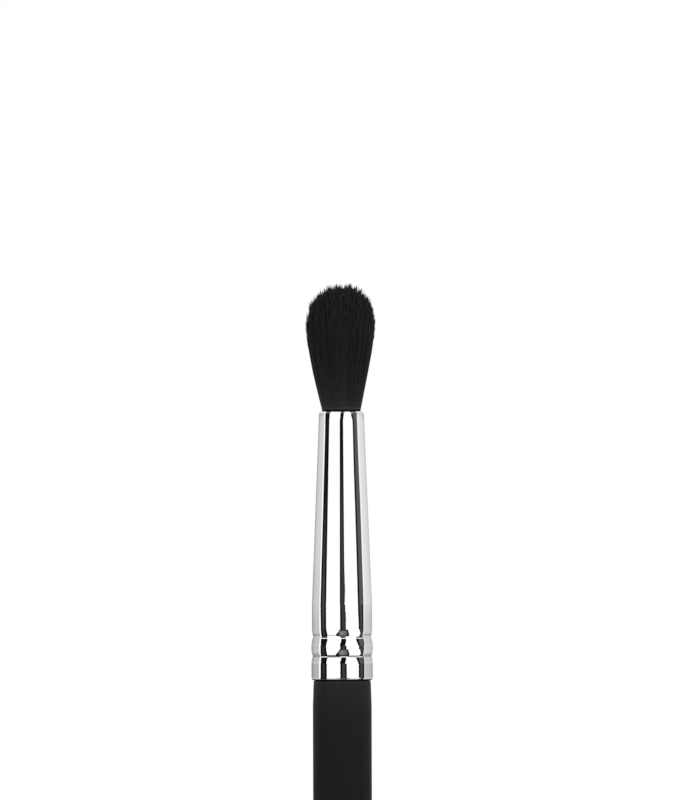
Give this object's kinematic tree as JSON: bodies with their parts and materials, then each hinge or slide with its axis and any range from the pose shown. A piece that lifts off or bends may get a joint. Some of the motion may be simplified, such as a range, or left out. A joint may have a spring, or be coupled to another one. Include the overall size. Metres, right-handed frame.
{
  "type": "eyeshadow brush",
  "caption": "Slim cosmetic brush with a domed dark hair tuft, a tapered polished metal ferrule and a round black lacquered wooden handle.",
  "frame": {"origin": "centre of the handle's rounded tail end, at the lowest point of the upright brush", "axes": "+Z along the brush's axis, from the tail to the tip of the hair; +X to the right and -Y towards the picture's viewer"},
  "size_m": [0.0082, 0.0082, 0.1718],
  "materials": {
    "hair": "matte",
    "set_root": "matte",
    "thread": "matte",
    "resin": "satin",
    "plated_metal": "polished",
    "adhesive": "satin",
    "black_lacquer": "satin"
  },
  "bodies": {
    "root": {"bristles": "hair", "root_bundle": "set_root", "binding_thread": "thread", "resin_plug": "resin", "ferrule": "plated_metal", "handle_glue": "adhesive", "handle": "black_lacquer"}
  },
  "joints": []
}
